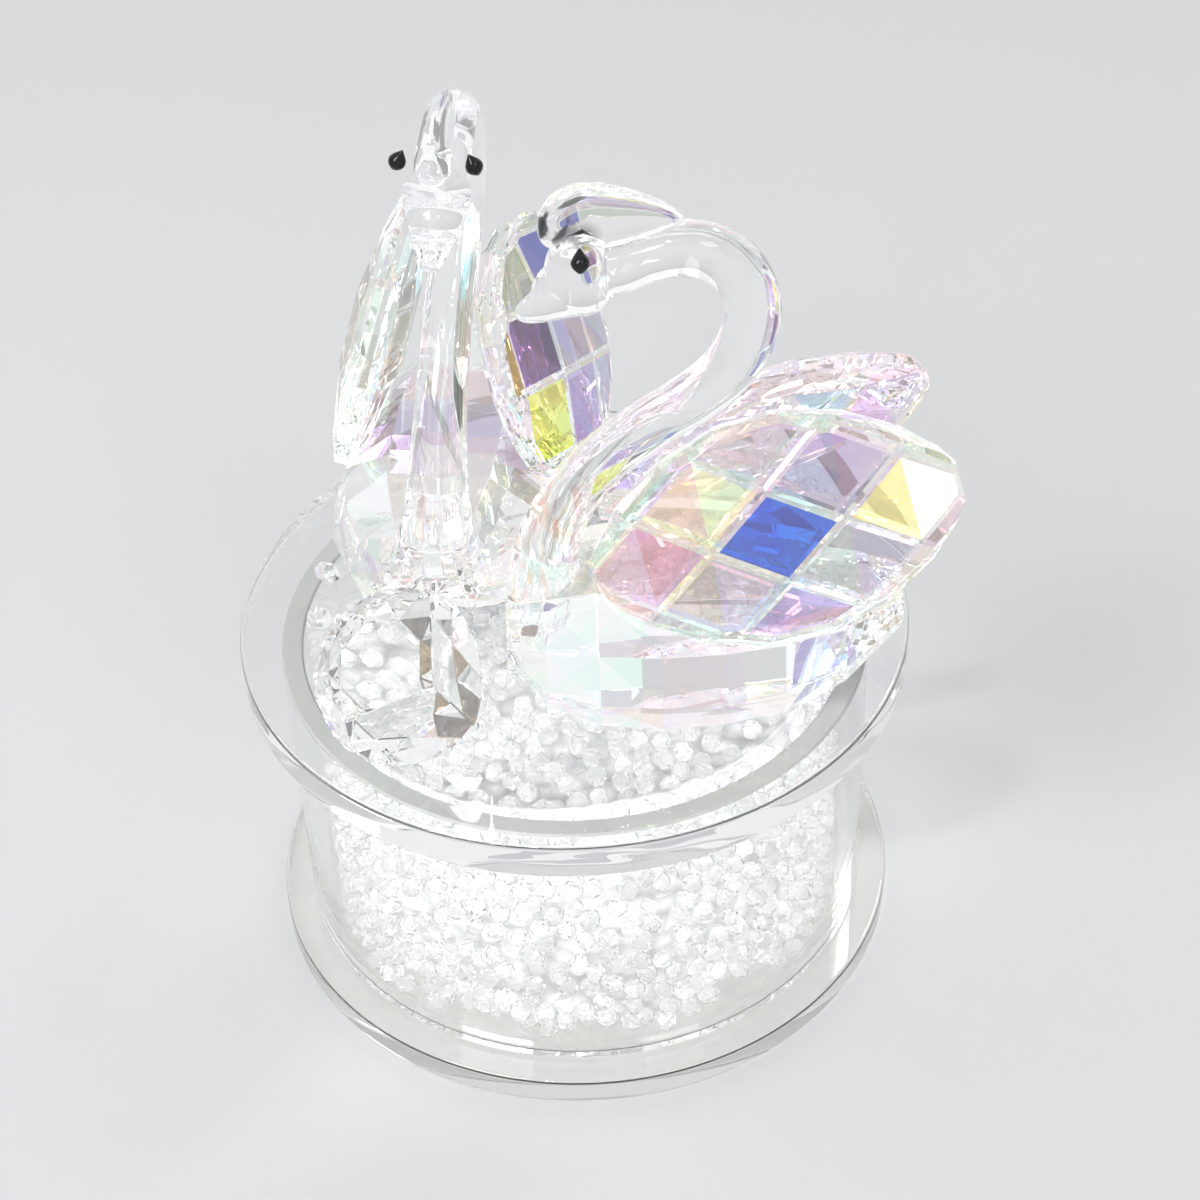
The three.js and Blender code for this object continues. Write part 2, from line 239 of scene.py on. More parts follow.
def addPatches(material, values, patches):
    # near each patch's middle the glass takes the patch's colour, broken up by long or round noise;
    # the mix node's inputs 0, 6 and 7 are its factor and two colours, and its output 2 is the colour
    nodes, links = material.node_tree.nodes, material.node_tree.links
    shader = nodes["Principled BSDF"]
    place = nodes.new("ShaderNodeTexCoord")
    last = None
    for patch in patches:
        far = nodes.new("ShaderNodeVectorMath")
        far.operation = "DISTANCE"
        far.inputs[1].default_value = tuple(v * mm for v in patch["middle"])
        links.new(place.outputs["Object"], far.inputs[0])
        near = nodes.new("ShaderNodeMapRange")
        near.inputs["From Min"].default_value = patch["radius"] * mm
        near.inputs["From Max"].default_value = patch["radius"] * mm * 0.5
        links.new(far.outputs["Value"], near.inputs["Value"])
        stretch = nodes.new("ShaderNodeMapping")
        stretch.inputs["Scale"].default_value = patch["scale"]
        links.new(place.outputs["Object"], stretch.inputs["Vector"])
        noise = nodes.new("ShaderNodeTexNoise")
        noise.inputs["Scale"].default_value = 1
        noise.inputs["Detail"].default_value = 2
        links.new(stretch.outputs["Vector"], noise.inputs["Vector"])
        edge = nodes.new("ShaderNodeMapRange")
        edge.inputs["From Min"].default_value = patch["cut"]
        edge.inputs["From Max"].default_value = patch["cut"] + patch["soft"]
        links.new(noise.outputs["Fac"], edge.inputs["Value"])
        both = nodes.new("ShaderNodeMath")
        both.operation = "MULTIPLY"
        links.new(near.outputs["Result"], both.inputs[0])
        links.new(edge.outputs["Result"], both.inputs[1])
        mix = nodes.new("ShaderNodeMix")
        mix.data_type = "RGBA"
        mix.inputs[7].default_value = (*patch["colour"], 1)
        mix.inputs[6].default_value = (*values["colour"], 1)
        if last is not None:
            links.new(last, mix.inputs[6])
        links.new(both.outputs["Value"], mix.inputs[0])
        last = mix.outputs[2]
    links.new(last, shader.inputs["Base Color"])


def cutCrystal(name, values):
    # each facet carries its own tint, and in the tint's alpha its painted glint, an emission strength
    material, nodes, links, shader = newMaterial(name)
    tint = nodes.new("ShaderNodeAttribute")
    tint.attribute_name = "tint"
    links.new(tint.outputs["Color"], shader.inputs["Base Color"])
    links.new(tint.outputs["Color"], shader.inputs["Emission Color"])
    links.new(tint.outputs["Alpha"], shader.inputs["Emission Strength"])
    shader.inputs["Roughness"].default_value = values["roughness"]
    shader.inputs["IOR"].default_value = values["ior"]
    shader.inputs["Transmission Weight"].default_value = 1
    shader.inputs["Thin Film Thickness"].default_value = values["film"]
    shader.inputs["Thin Film IOR"].default_value = values["filmIor"]
    return material


clearGlass = glass("clear glass", finishValues["clear"])
footGlass = glass("foot glass", finishValues["foot"])
wallGlass = glass("wall glass", finishValues["wall"])
lampGlass = glass("lampwork glass", finishValues["lamp"])
sideLampGlass = glass("side lampwork glass", finishValues["lamp"])
# painted shade: dark in the crest and above the eye; pink and peach streaks low on the neck, blue on its outer bend
patchValues = [
    {"middle": (-0.2, -10.2, 105.6), "radius": 3.0, "scale": (500, 500, 300),
     "cut": 0.42, "soft": 0.06, "colour": (0.01, 0.01, 0.012)},
    {"middle": (2.8, -12.2, 104.4), "radius": 2.5, "scale": (600, 600, 900),
     "cut": 0.38, "soft": 0.05, "colour": (0.01, 0.01, 0.01)},
    {"middle": (-6.5, -12.5, 68), "radius": 14, "scale": (900, 900, 90),
     "cut": 0.54, "soft": 0.05, "colour": (1.0, 0.6, 0.62)},
    {"middle": (-5.0, -13.0, 62), "radius": 13, "scale": (700, 1100, 110),
     "cut": 0.57, "soft": 0.04, "colour": (1.0, 0.72, 0.52)},
    {"middle": (24.5, -10.5, 87), "radius": 5.5, "scale": (900, 500, 90),
     "cut": 0.56, "soft": 0.04, "colour": (0.12, 0.28, 0.9)},
]
addPatches(sideLampGlass, finishValues["lamp"], patchValues)
stoneGlass = cutCrystal("stone crystal", finishValues["stone"])
beadGlass = glass("clear beads", finishValues["bead"])
coatedCrystal = cutCrystal("coated crystal", finishValues["cut"])

blackGlass = plainFinish("black glass", **finishValues["black"])
# the sawn upper end of the tube stays matt and grey
groundGlass = plainFinish("ground glass", **finishValues["ground"])

# the side copy is lighter and glows much more than the top copy: lit and shaded copies of one finish, painted light
coreValues = {
    "cell": 420, "darkAt": 0.75, "roughness": 0.4, "dent": 0.8, "dentDepth": 0.0006,
    "side": {"dark": (0.4, 0.405, 0.415, 1), "light": (0.84, 0.84, 0.845, 1), "glow": 0.9},
    "top": {"dark": (0.3, 0.305, 0.31, 1), "light": (0.64, 0.64, 0.645, 1), "glow": 0.16},
}


def coreFinish(name, values):
    # round cells with a painted highlight in the middle and painted shade between, as the deeper beads look, and a
    # glow, painted light, for light passed on
    material, nodes, links, shader = newMaterial(name)
    place = nodes.new("ShaderNodeTexCoord")
    cell = nodes.new("ShaderNodeTexVoronoi")
    cell.inputs["Scale"].default_value = coreValues["cell"]
    ramp = nodes.new("ShaderNodeValToRGB")
    ramp.color_ramp.elements[0].color = values["light"]
    ramp.color_ramp.elements[1].color = values["dark"]
    ramp.color_ramp.elements[1].position = coreValues["darkAt"]
    bump = nodes.new("ShaderNodeBump")
    bump.inputs["Strength"].default_value = coreValues["dent"]
    bump.inputs["Distance"].default_value = coreValues["dentDepth"]
    links.new(place.outputs["Object"], cell.inputs["Vector"])
    links.new(cell.outputs["Distance"], ramp.inputs["Fac"])
    links.new(ramp.outputs["Color"], shader.inputs["Base Color"])
    links.new(cell.outputs["Distance"], bump.inputs["Height"])
    links.new(bump.outputs["Normal"], shader.inputs["Normal"])
    shader.inputs["Roughness"].default_value = coreValues["roughness"]
    links.new(ramp.outputs["Color"], shader.inputs["Emission Color"])
    shader.inputs["Emission Strength"].default_value = values["glow"]
    return material


beadCore = coreFinish("deep beads", coreValues["side"])
beadCoreTop = coreFinish("deep beads top", coreValues["top"])
print("finishes ready")


# glass base: two discs and the tube between them;
# nearEdge is how close a plain row lies to each broken edge, which keeps the shading of an upright wall upright
baseSizes = {
    "segments": 240,
    "bottomRadius": 38.8, "bottomThickness": 3.6,
    "topRadius": 40.0, "topThickness": 4.6,
    "drumRadius": 35.3, "drumWall": 2.6,
    "edgeRound": 0.45, "drumEdge": 0.25, "nearEdge": 0.08,
}


def turned(name, profile, material):
    # profile of radius and height swept round Z and closed by level ends, which stay flat
    points, faces = closedRings(sweptRings(profile, baseSizes["segments"]))
    obj = outwardFaces(makeObject(name, points, faces, material))
    obj.data.polygons.foreach_set("use_smooth", np.abs(faceArrays(obj.data)[1][:, 2]) < 0.999)
    return obj


def roundedDisc(radius, low, high, edge):
    # level faces with a quarter-round edge above and below: the edge's size times sine and cosine
    a = np.linspace(0, np.pi / 2, 6)
    lower = np.stack([radius - edge + edge * np.sin(a), low + edge - edge * np.cos(a)], -1)
    upper = np.stack([radius - edge + edge * np.cos(a), high - edge + edge * np.sin(a)], -1)
    inner = radius - 3 * edge
    near = edge + baseSizes["nearEdge"]
    rim = [[radius, low + near], [radius, high - near]]
    return np.vstack([[[inner, low]], lower, rim, upper, [[inner, high]]])


edge = baseSizes["edgeRound"]
footProfile = roundedDisc(baseSizes["bottomRadius"], 0.0, baseSizes["bottomThickness"], edge)
finishPiece(turned("foot_glass", footProfile, footGlass), "clear_glass", "bottom_disc")
lidProfile = roundedDisc(baseSizes["topRadius"], lidTop - baseSizes["topThickness"], lidTop, edge)
finishPiece(turned("lid_glass", lidProfile, clearGlass), "clear_glass", "top_disc")

wallLow = baseSizes["bottomThickness"] + glueGap
wallHigh = lidTop - baseSizes["topThickness"] - glueGap
bore = baseSizes["drumRadius"] - baseSizes["drumWall"]


def tubeWall():
    # closed ring section with broken corners, swept round Z; the upper end face gets the ground finish
    e = baseSizes["drumEdge"]
    outer = baseSizes["drumRadius"]
    n = e + baseSizes["nearEdge"]
    section = np.array([
        [bore + e, wallLow], [outer - e, wallLow], [outer, wallLow + e], [outer, wallLow + n],
        [outer, wallHigh - n], [outer, wallHigh - e], [outer - e, wallHigh], [bore + e, wallHigh],
        [bore, wallHigh - e], [bore, wallHigh - n], [bore, wallLow + n], [bore, wallLow + e]])
    rings = sweptRings(section, baseSizes["segments"])
    obj = makeObject("drum_glass", rings.reshape(-1, 3), gridQuads(*rings.shape[:2], loop=True), wallGlass)
    obj.data.materials.append(groundGlass)
    outwardFaces(obj)
    level = faceArrays(obj.data)[1][:, 2]
    obj.data.polygons.foreach_set("use_smooth", np.abs(level) < 0.1)
    obj.data.polygons.foreach_set("material_index", (level > 0.1).astype(np.int32))
    return obj


finishPiece(tubeWall(), "clear_glass", "drum_wall")
print("glass base ready")


# loose beads in the drum: drop is how far the heap falls away towards dropAngle; settle counts the rounds of pushing, in which a bead takes
# push of each overlap and moves no further than longestPush
beadValues = {
    "seed": 5, "diameter": 2.75, "spread": 0.14, "layers": 1.5,
    "drop": 7.0, "dropAngle": 140, "lift": 1.1, "wallGap": 0.35, "topGap": 0.1,
    "tries": 40000, "packing": 0.92, "most": 3150, "settle": 34, "push": 0.38, "longestPush": 0.8, "block": 400,
    "coreSide": 3.0, "coreTop": 2.9, "coreFoot": 1.6, "coreSegments": 160,
}


def fillTop(x, y):
    # plane tipped down towards the back left, no higher than the tube
    a = math.radians(beadValues["dropAngle"])
    slope = (x * math.cos(a) + y * math.sin(a)) / bore
    return np.minimum(wallHigh, wallHigh + beadValues["lift"] - beadValues["drop"] * (0.5 + 0.5 * slope))


def settledCentres():
    # random points in the outer layers; each round adds up, over all nearer neighbours, the missing distance along
    # the line between the two, and then brings every point back inside the wall, the floor and the top
    random = np.random.default_rng(beadValues["seed"])
    size = beadValues["diameter"]
    depth = size * beadValues["layers"]
    radius = bore - beadValues["wallGap"] - size / 2
    low = wallLow + size / 2
    count = beadValues["tries"]
    a = random.random(count) * 2 * np.pi
    r = radius * np.sqrt(random.random(count))
    x, y = r * np.cos(a), r * np.sin(a)
    high = fillTop(x, y) - size / 2 - beadValues["topGap"]
    z = low + (wallHigh - low) * random.random(count)
    keep = (z < high) & ((r > radius - depth) | (z > high - depth) | (z < low + size * 0.6))
    p = np.stack([x, y, z], -1)[keep]
    # close packing, so that neighbours touch and dip into each other a little
    room = keep.sum() / count * np.pi * radius ** 2 * (wallHigh - low)
    want = int(room * beadValues["packing"] / (np.pi / 6 * size ** 3))
    p = p[: min(want, beadValues["most"])]
    block, reach = beadValues["block"], beadValues["longestPush"]
    for _ in range(beadValues["settle"]):
        move = np.zeros_like(p)
        for s in range(0, len(p), block):
            gap = p[s:s + block, None, :] - p[None, :, :]
            far = np.sqrt((gap ** 2).sum(-1)) + 1e-9
            push = np.clip(size - far, 0, None) * (far > 1e-6)
            move[s:s + block] = (gap / far[..., None] * push[..., None]).sum(1) * beadValues["push"]
        p = p + np.clip(move, -reach, reach)
        r = np.hypot(p[:, 0], p[:, 1])
        shrink = np.minimum(1, radius / np.maximum(r, 1e-6))
        p[:, :2] *= shrink[:, None]
        p[:, 2] = np.clip(p[:, 2], low, fillTop(p[:, 0], p[:, 1]) - size / 2 - beadValues["topGap"])
    return p, random


def beadShape():
    # eight-sided barrel: flat ends, a belt and two sloping bands, as shares of the bead's half size
    rings = sweptRings([[0.45, -0.88], [0.95, -0.36], [0.95, 0.36], [0.45, 0.88]], 8)
    return rings.reshape(-1, 3), gridQuads(4, 8), [list(range(7, -1, -1)), list(range(24, 32))]


def turnedBeads(centres, random):
    # each copy gets its own turn from a random unit quaternion
    shape, bands, ends = beadShape()
    count = len(centres)
    q = random.normal(size=(count, 4))
    q /= np.linalg.norm(q, axis=1)[:, None]
    w, x, y, z = q.T
    spin = np.stack([
        1 - 2 * (y * y + z * z), 2 * (x * y - z * w), 2 * (x * z + y * w),
        2 * (x * y + z * w), 1 - 2 * (x * x + z * z), 2 * (y * z - x * w),
        2 * (x * z - y * w), 2 * (y * z + x * w), 1 - 2 * (x * x + y * y)], -1).reshape(-1, 3, 3)
    size = beadValues["diameter"] / 2 * (0.98 - beadValues["spread"] * random.random(count))
    points = np.einsum("nij,vj->nvi", spin, shape) * size[:, None, None] + centres[:, None, :]
    first = (np.arange(count) * len(shape))[:, None, None]
    faces = []
    for group in (bands, ends):
        faces += (np.array(group)[None] + first).reshape(-1, len(group[0])).tolist()
    return points.reshape(-1, 3), faces


centres, beadRandom = settledCentres()
beadPoints, beadFaces = turnedBeads(centres, beadRandom)
beads = makeObject("beads", beadPoints, beadFaces, beadGlass, smooth=False)
finishPiece(beads, "clear_beads", "bead_fill")

# the light core: share of the radius, share of the height, rise over the top, which makes a low lip round it
coreProfile = [
    (0.9, 0, 0), (1, 0.03, 0), (1, 0.97, 0), (1, 1, 1.6), (0.985, 1, 1.6), (0.93, 1, 0), (0.5, 1, 0), (0.05, 1, 0)]
coreRadius = bore - beadValues["wallGap"] - beadValues["coreSide"]
coreAngle = np.linspace(0, 2 * np.pi, beadValues["coreSegments"], endpoint=False)
coreX, coreY = np.cos(coreAngle), np.sin(coreAngle)
coreRows = []
for share, level, rise in coreProfile:
    x, y = coreRadius * share * coreX, coreRadius * share * coreY
    lowZ = np.full_like(x, wallLow + beadValues["coreFoot"])
    coreRows.append(np.stack([x, y, lowZ + (fillTop(x, y) - beadValues["coreTop"] - lowZ) * level + rise], -1))
corePoints, coreFaces = closedRings(np.array(coreRows))
core = outwardFaces(makeObject("deep_beads", corePoints, coreFaces, beadCore))
core.data.materials.append(beadCoreTop)
core.data.polygons.foreach_set("material_index", (faceArrays(core.data)[1][:, 2] > 0.5).astype(np.int32))
finishPiece(core, "clear_beads", "bead_fill")
print("beads ready", len(centres))


# two swans from one set of shapes; lean is the tilt to one side, and each wing has its middle and its turns

swans = [
    {"name": "side_swan", "place": (-3.5, -9.2), "heading": 180, "lean": 0,
     "left": {"centre": (-26, 9, 25.5), "pitch": 14, "toe": 2, "tilt": 24, "eye": 58},
     "right": {"centre": (-25.4, -8, 24.4), "pitch": 28, "toe": 2, "tilt": 24, "eye": 56.8}},
    {"name": "front_swan", "place": (-16.1, 1.5), "heading": 262.5, "lean": 2.7,
     "left": {"centre": (-23.8, 11.2, 22.4), "pitch": 8.4, "toe": 2, "tilt": 32, "eye": 58.2},
     "right": {"centre": (-24.9, -9.1, 23.1), "pitch": 12, "toe": 5, "tilt": 14.3, "eye": 58.2}},
]

# rows of the neck, bill and crest: distance ahead, height, half height and half width
neckValues = {
    "voxel": 0.2, "smoothing": 10,
    "neck": [
        [0.1, 7.5, 4.15, 4.15], [0, 11, 4.15, 4.15], [-0.4, 15.6, 3.8, 3.8], [-2, 20.8, 3.4, 3.4],
        [-4.8, 26, 3.1, 3.1], [-8.4, 30.2, 3, 3], [-12.6, 33.7, 3, 3], [-17, 36.7, 3, 3],
        [-20.6, 39.9, 3, 3], [-23, 43.8, 3.1, 3.1], [-23.9, 48.4, 3.1, 3.1], [-22.6, 52.9, 3.1, 3.1],
        [-19.6, 55.7, 3.1, 3.1], [-16, 56.3, 3, 3], [-12.6, 55.6, 2.9, 3], [-9.4, 54.6, 3.2, 3.2],
        [-6.4, 54, 3, 3]],
    "bill": [
        [-5.6, 52.4, 2.2, 2], [-4, 51.8, 3.2, 2.9], [-2.6, 50.8, 2.7, 2.5], [-1.2, 49.8, 1.7, 2],
        [0.4, 49.25, 1.1, 1.4], [1.2, 49.2, 0.45, 0.7]],
    "crest": [
        [-2.3, 57.8, 0.7, 0.9], [-2.9, 58.5, 1.9, 1.9], [-4.1, 59.6, 3.2, 2], [-5.8, 60.55, 4, 1.8],
        [-8, 60.65, 4, 1.7], [-10.6, 60.55, 3.4, 1.5], [-13.2, 60.4, 2.4, 1.2], [-15.4, 60.1, 1.3, 0.8],
        [-16.8, 59.9, 0.3, 0.3]],
    "headCentre": (-5.9, 0, 53.9), "headSizes": (3.9, 3.8, 5),
}

eyeValues = {"length": 2.9, "radius": 0.92, "fullness": 1.12, "x": -5.8, "y": 4.1, "splay": 24}


def standMatrix(swan):
    return shift(*swan["place"], lidTop + glueGap) @ turn("Z", swan["heading"])


def makeNeck(swan):
    # neck, head, bill and crest run into each other and are fused into one skin, then softened
    points, faces = joined(
        bentTube(neckValues["neck"], 220, 48),
        ball(neckValues["headCentre"], neckValues["headSizes"]),
        bentTube(neckValues["bill"], 40, 32),
        bentTube(neckValues["crest"], 60, 32))
    place = standMatrix(swan) @ turn("X", -swan["lean"])
    material = sideLampGlass if swan["name"] == "side_swan" else lampGlass
    obj = outwardFaces(makeObject(swan["name"] + "_neck_glass", moved(points, place), faces, material))
    fuse = obj.modifiers.new("fuse", "REMESH")
    fuse.mode = "VOXEL"
    fuse.voxel_size = neckValues["voxel"] * mm * 1
    fuse.use_smooth_shade = True
    soft = obj.modifiers.new("soft", "SMOOTH")
    soft.factor = 0.5
    soft.iterations = neckValues["smoothing"]
    return finishPiece(obj, "lampwork_glass", swan["name"] + "_neck")


def makeEye(swan, side, sign):
    # drop swept about its length: a half sine that thins towards the end that points in and up
    t = np.linspace(0, 1, 22)
    r = eyeValues["radius"] * eyeValues["fullness"] * np.sin(np.pi * t) * (1.35 - 0.85 * t)
    z = eyeValues["length"] * (t - 0.5)
    points, faces = closedRings(sweptRings(np.stack([r, z], -1)[1:-1], 28))
    socket = shift(eyeValues["x"], sign * eyeValues["y"], swan[side]["eye"])
    place = standMatrix(swan) @ turn("X", -swan["lean"]) @ socket @ turn("X", sign * eyeValues["splay"])
    obj = outwardFaces(makeObject(swan["name"] + "_eye_bead_" + side, moved(points, place), faces, blackGlass))
    return finishPiece(obj, "black_glass", swan["name"] + "_eye_" + side)


# cut pieces: the solids' own facets, merged flat, with tints and broken edges

latticeValues = {"halfLength": 7.4, "halfWidth": 5.3, "seed": 21, "smallest": 22, "border": 0.5, "sink": 0.07}
facetKinds = {"edge": 0, "outer": 1, "inner": 2}
flatEnough, hotFrom, deepShare = 0.9, 0.4, 0.35
brokenEdges = {"wing": 0.14, "body": 0.2, "stone": 0.12}


def nearestSpot(u, v):
    # facet of the lattice, row and column sum even, whose middle is nearest
    a, b = u / latticeValues["halfLength"], v / latticeValues["halfWidth"]
    rows, columns = range(round(a) - 1, round(a) + 2), range(round(b) - 1, round(b) + 2)
    spots = [(i, j) for i in rows for j in columns if (i + j) % 2 == 0]
    return min(spots, key=lambda s: (a - s[0]) ** 2 + (b - s[1]) ** 2)


def splitFacets(work, toLocal):
    # large facets of both domes get a sunk middle inside a sloping border, and the middle is cut into triangles;
    # the border's kind lies past the last of facetKinds, so it keeps a plain tint
    layers = {key: work.faces.layers.int.new(key) for key in ("spotRow", "spotColumn", "kind")}
    large = []
    for face in work.faces:
        u, v, w = toLocal @ face.calc_center_median() / mm
        spot = nearestSpot(u, v)
        face[layers["spotRow"]], face[layers["spotColumn"]] = spot
        out = (toLocal.to_3x3() @ face.normal).z
        face[layers["kind"]] = facetKinds["outer" if out > flatEnough else "inner" if out < -flatEnough else "edge"]
        if abs(out) > flatEnough and face.calc_area() > latticeValues["smallest"] * mm * mm:
            large.append(face)
    inset = bmesh.ops.inset_individual(
        work, faces=large, use_even_offset=True,
        thickness=latticeValues["border"] * mm, depth=-latticeValues["sink"] * mm)
    for face in inset["faces"]:
        face[layers["kind"]] += len(facetKinds) - 1
    bmesh.ops.triangulate(work, faces=large)


def facetMesh(node, name, bevel, toLocal=None):
    # a copy of the CAD solid whose loose triangles are merged into its flat facets
    work = bmesh.new()
    work.from_mesh(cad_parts[node].data)
    bmesh.ops.remove_doubles(work, verts=work.verts, dist=1e-6)
    bmesh.ops.dissolve_limit(work, angle_limit=math.radians(0.6), verts=work.verts, edges=work.edges)
    bmesh.ops.recalc_face_normals(work, faces=work.faces)
    if toLocal is not None:
        splitFacets(work, toLocal)
    mesh = bpy.data.meshes.new(name)
    work.to_mesh(mesh)
    work.free()
    mesh.materials.clear()
    obj = bpy.data.objects.new(name, mesh)
    bpy.context.scene.collection.objects.link(obj)
    mesh.polygons.foreach_set("use_smooth", np.zeros(len(mesh.polygons), bool))
    if bevel:
        cut = obj.modifiers.new("edges", "BEVEL")
        cut.width = bevel * mm
        cut.segments = 1
        cut.limit_method = "ANGLE"
        cut.angle_limit = math.radians(8)
        cut.use_clamp_overlap = True
    return obj


def setTint(mesh, colours, paintedGlint=0.0):
    # one colour a face, laid on all its corners, with the painted glint as alpha
    layer = mesh.attributes.new("tint", "FLOAT_COLOR", "CORNER")
    corners = np.zeros(len(mesh.polygons), int)
    mesh.polygons.foreach_get("loop_total", corners)
    rgba = np.hstack([colours, np.zeros((len(colours), 1)) + np.reshape(paintedGlint, (-1, 1))])
    layer.data.foreach_set("color", np.repeat(rgba, corners, axis=0).ravel())


# clear with a breath of colour
pale = np.array([
    [1.0, 1.0, 1.0], [0.97, 1.0, 0.99], [0.82, 0.98, 0.91], [1.0, 0.91, 0.85],
    [1.0, 0.88, 0.95], [0.92, 0.89, 1.0], [0.88, 0.98, 1.0], [1.0, 1.0, 0.85], [0.99, 0.99, 0.99], [1.0, 1.0, 1.0]])

# stronger coating colours
flashColours = np.array([
    [0.8, 0.98, 0.9], [1.0, 0.98, 0.62], [0.78, 0.74, 0.96], [1.0, 0.8, 0.9], [0.72, 0.9, 1.0], [1.0, 0.86, 0.76],
    [0.9, 0.7, 0.95], [1.0, 1.0, 1.0]])
bodyColours = np.array([
    [0.8, 0.92, 0.66], [0.93, 0.9, 0.55], [0.6, 0.4, 0.72], [0.62, 0.25, 0.3], [0.84, 0.96, 0.9],
    [0.95, 0.8, 0.75], [0.7, 0.75, 0.95], [0.95, 0.75, 0.9]])

# tints by the facet's row and column in the lattice, rows counted towards the tail
wingTints = {
    "side_swan_left": {
        (0, 0): (0.01, 0.2, 0.86), (1, 1): (0.68, 0.66, 0.86), (1, -1): (0.74, 0.76, 0.86),
        (-1, -1): (0.68, 0.67, 0.9), (-1, 1): (0.98, 0.97, 0.66), (2, 0): (1.0, 0.98, 0.5),
        (-2, 0): (0.88, 0.6, 0.8), (0, -2): (0.76, 0.5, 0.84), (0, 2): (0.9, 0.9, 0.96),
        (2, -2): (1.0, 0.86, 0.78), (-2, 2): (0.78, 0.96, 0.9), (3, 1): (0.8, 0.98, 0.88),
        (-2, -2): (0.84, 0.97, 0.92), (3, -1): (0.92, 0.7, 0.84), (-3, 1): (0.74, 0.95, 0.88)},
    "side_swan_right": {
        (0, 0): (0.9, 0.78, 0.94), (1, 1): (0.86, 0.66, 0.95), (1, -1): (0.95, 0.8, 0.9),
        (2, 0): (0.84, 0.66, 0.95), (-1, 1): (1.0, 0.9, 0.86), (3, 1): (1.0, 0.84, 0.8)},
    "front_swan_left": {
        (0, 0): (0.72, 0.68, 0.86), (1, 1): (0.26, 0.15, 0.64), (1, -1): (0.72, 0.7, 0.82),
        (2, 0): (0.78, 0.78, 0.72), (2, 2): (0.72, 0.7, 0.65), (0, 2): (0.66, 0.64, 0.58),
        (0, -2): (0.7, 0.66, 0.84), (-1, 1): (0.29, 0.11, 0.38), (-1, -1): (0.68, 0.52, 0.82),
        (-2, 0): (0.88, 0.92, 0.3), (-2, 2): (0.62, 0.4, 0.2), (-3, 1): (0.94, 0.88, 0.9)},
    "front_swan_right": {
        (0, 0): (0.66, 0.6, 0.52), (1, 1): (0.6, 0.95, 1.0), (1, -1): (0.55, 0.52, 0.5),
        (2, 0): (0.6, 0.92, 1.0), (-1, 1): (0.8, 0.7, 0.62), (-1, -1): (0.12, 0.12, 0.13),
        (-2, 0): (0.9, 0.76, 0.74), (0, 2): (0.7, 0.66, 0.62), (0, -2): (0.5, 0.45, 0.42)},
}

# power deepens the table's tints, base tints the rest, inner deepens the inner side's; glow, lit and hot are
# painted glints, emission in the tint's alpha: glow is the most a plain facet gets, lit facets glow all over, hot
# ones carry a painted highlight in their tailward half; both: both sides take the table's tints
wingShades = {
    "side_swan_left": {"power": 1.45, "base": (1.0, 1.0, 1.0), "inner": 1.6, "glow": 0.1,
                       "lit": {(2, 0): 0.3, (-1, 1): 0.12, (0, 0): 0.05, (-2, 0): 0.05}, "hot": {(2, 0): 0.8}},
    "side_swan_right": {"power": 1.5, "base": (1.0, 0.88, 0.95), "inner": 2.0, "glow": 0.06, "lit": {}, "hot": {}},
    "front_swan_left": {"power": 2.2, "base": (0.98, 0.97, 0.97), "inner": 2.2, "glow": 0.04,
                        "lit": {(-2, 0): 0.08}, "hot": {}},
    "front_swan_right": {"power": 1.6, "base": (0.93, 0.92, 0.9), "inner": 3.0, "glow": 0.05, "both": True,
                         "lit": {(2, 0): 0.3, (1, 1): 0.2}, "hot": {(2, 0): 1.2, (1, 1): 1.0}},
}


def wingMatrix(swan, side, sign):
    # a wing's own axes run tailward, up and outward; they take the wing's turns, then its place on the swan
    pose = swan[side]
    basis = np.eye(4)
    basis[:3, :3] = np.array([[-1, 0, 0], [0, 0, 1], [0, sign, 0]]).T
    local = (shift(*pose["centre"]) @ turn("Z", sign * pose["toe"]) @ turn("Y", pose["pitch"])
             @ turn("X", sign * pose["tilt"]) @ basis)
    return standMatrix(swan) @ local


def makeWing(swan, side, sign):
    # facets named in the table take its tints, the rest a random pale or stronger coating one; each also gets a
    # painted glint, a glow in the tint's alpha
    node = swan["name"] + "_wing_" + side
    toLocal = np.linalg.inv(wingMatrix(swan, side, sign))
    metres = toLocal.copy()
    metres[:3, 3] *= mm
    obj = facetMesh(node, node + "_cut", brokenEdges["wing"], Matrix(metres.tolist()))
    mesh = obj.data
    mesh.materials.append(coatedCrystal)
    count = len(mesh.polygons)
    fields = {}
    for key in ("spotRow", "spotColumn", "kind"):
        fields[key] = np.zeros(count, np.int32)
        mesh.attributes[key].data.foreach_get("value", fields[key])
    random = np.random.default_rng(latticeValues["seed"] + count)
    shades = wingShades[swan["name"] + "_" + side]
    table = wingTints[swan["name"] + "_" + side]
    colours = pale[random.integers(0, len(pale), count)] * shades["base"]
    paintedGlint = shades["glow"] * random.random(count) ** 2
    tailward = moved(faceArrays(mesh)[0], toLocal)[:, 0]
    for k in range(count):
        spot = (int(fields["spotRow"][k]), int(fields["spotColumn"][k]))
        kind = fields["kind"][k]
        if spot in table and (kind == facetKinds["outer"] or kind == facetKinds["inner"] and shades.get("both")):
            colours[k] = np.array(table[spot]) ** (shades["power"] * random.uniform(0.8, 1.3))
            paintedGlint[k] = shades["lit"].get(spot, 0.0) * random.uniform(0.6, 1.2)
            # hot facets: a painted highlight, the tint whitened and a strong glow in the tailward half
            if spot in shades["hot"] and tailward[k] > spot[0] * latticeValues["halfLength"] + hotFrom:
                paintedGlint[k] = shades["hot"][spot]
                colours[k] = colours[k] ** 0.3
        elif kind == facetKinds["inner"]:
            deep = random.random() < deepShare
            colours[k] = (flashColours if deep else pale)[random.integers(0, 8)] ** shades["inner"]
    setTint(mesh, colours, paintedGlint)
    return finishPiece(obj, "coated_crystal", node)


